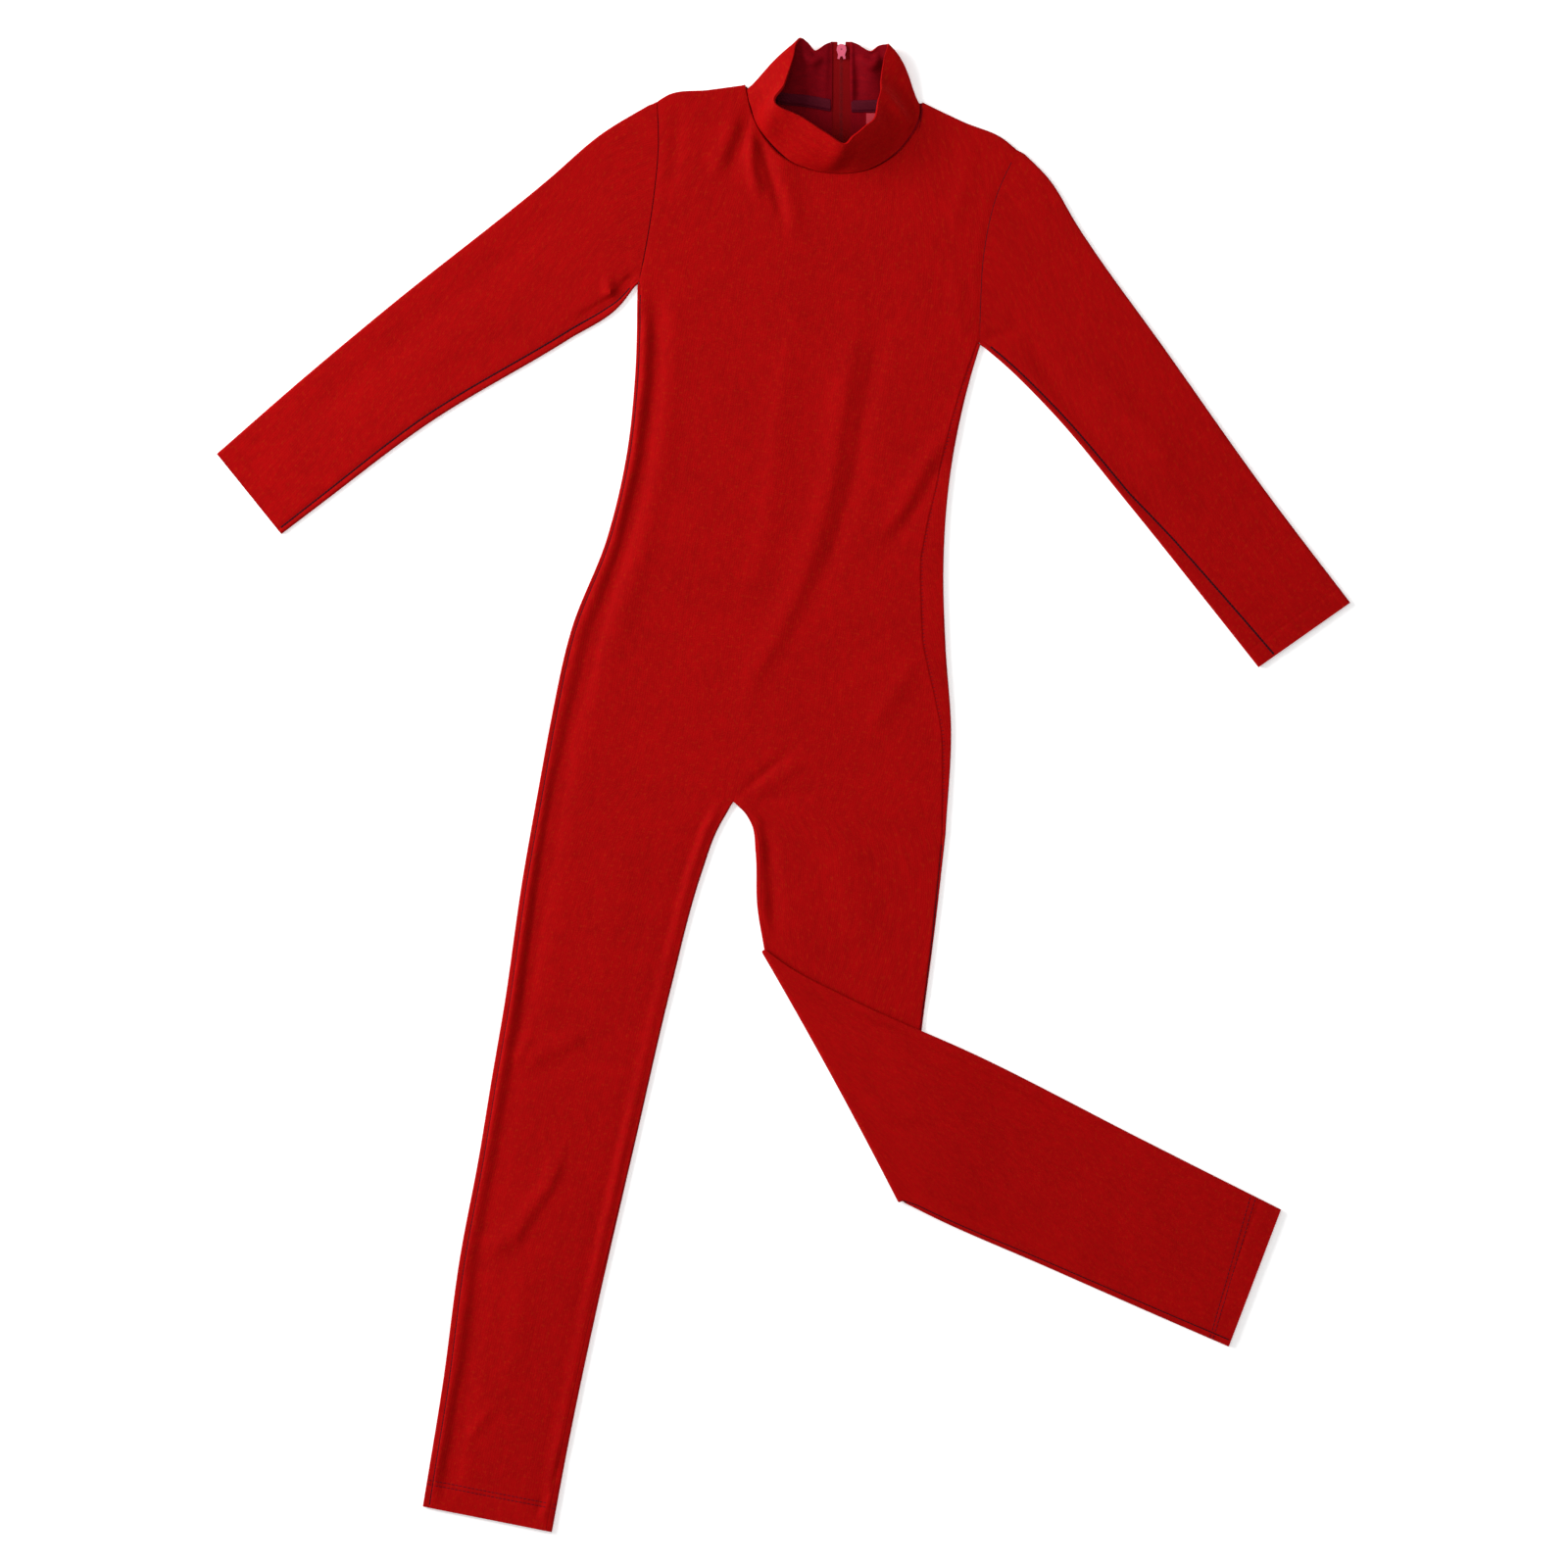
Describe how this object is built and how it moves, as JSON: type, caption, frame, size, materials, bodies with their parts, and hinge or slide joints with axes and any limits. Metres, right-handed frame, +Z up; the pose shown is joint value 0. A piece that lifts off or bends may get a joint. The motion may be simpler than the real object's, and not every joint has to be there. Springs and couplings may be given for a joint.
{
  "type": "long-sleeved full-leg unitard",
  "caption": "Unitard with long sleeves, full legs, a stand-up collar and a centre-back zip, laid flat front upwards with the left lower leg folded over at the knee.",
  "frame": {"origin": "centre of the bounding box in plan, at the height of the surface that the garment lies on", "axes": "+Y from the hems towards the collar, +X towards the wearer's left arm, +Z up from the surface that it lies on"},
  "size_m": [0.8326, 1.0976, 0.0316],
  "materials": {
    "red_knit": "matt",
    "red_tape": "matt",
    "red_coil": "satin",
    "pink_enamel": "gloss",
    "label_satin": "satin"
  },
  "bodies": {
    "garment": {"front": "red_knit", "back_right": "red_knit", "back_left": "red_knit", "sleeve_right": "red_knit", "sleeve_left": "red_knit", "collar": "red_knit", "zip_tape_right": "red_tape", "zip_tape_left": "red_tape", "zip_coil": "red_coil", "zip_slider": "pink_enamel", "neck_label": "label_satin"},
    "tab": {"zip_tab": "pink_enamel"}
  },
  "joints": [
    {"name": "tab_hinge", "type": "hinge", "parent": "garment", "child": "tab", "pos_m": [0.0426, 0.53725, 0.0017], "axis": [1, 0, 0], "range_deg": [0, 170]}
  ]
}
